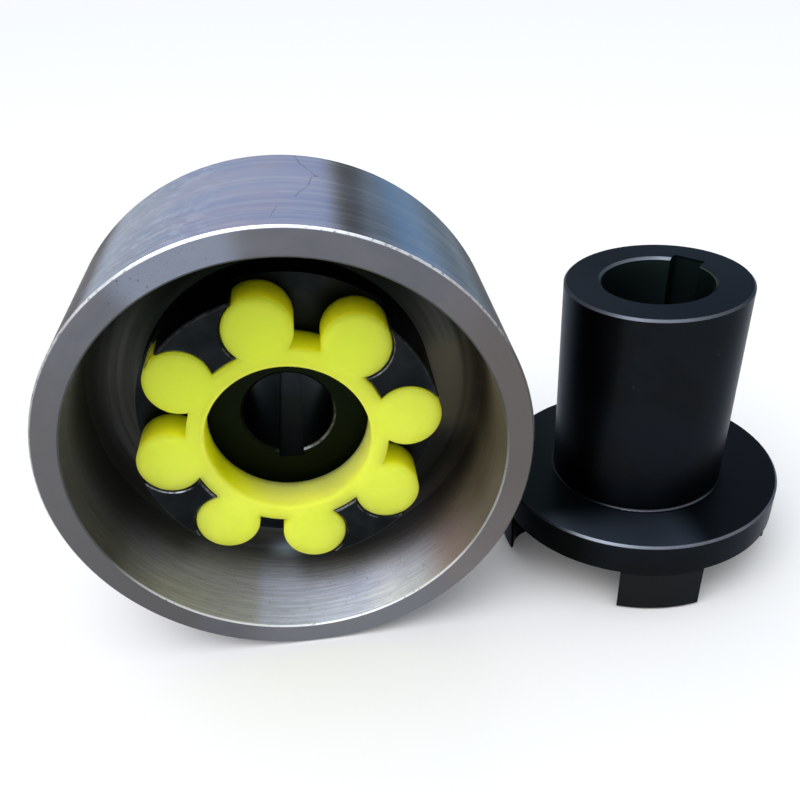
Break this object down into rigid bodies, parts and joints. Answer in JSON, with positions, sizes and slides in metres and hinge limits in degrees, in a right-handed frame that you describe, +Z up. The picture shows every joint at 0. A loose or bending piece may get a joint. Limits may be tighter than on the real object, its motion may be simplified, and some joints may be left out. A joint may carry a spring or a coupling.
{
  "type": "brake drum jaw coupling",
  "caption": "Elastic jaw coupling with a steel brake drum on its hub, a lobed yellow spider between the jaws, and the other jaw hub set down beside it.",
  "frame": {"origin": "on the drum's axis, in the plane where the drum's web seats on its hub's flange", "axes": "+Y along the drum's axis towards the back, away from the open mouth; +Z up, along the free hub's axis; +X from the drum to the free hub"},
  "size_m": [0.4165, 0.1745, 0.25],
  "materials": {
    "turned_steel": "satin",
    "blackened_steel": "satin",
    "bolt_steel": "satin",
    "washer_steel": "satin",
    "yellow_elastomer": "satin",
    "free_hub_steel": "satin"
  },
  "bodies": {
    "root": {"brake_drum": "turned_steel", "drum_hub": "blackened_steel", "drum_bolts": "bolt_steel", "spring_washers": "washer_steel", "spider": "yellow_elastomer", "free_hub": "free_hub_steel"}
  },
  "joints": []
}
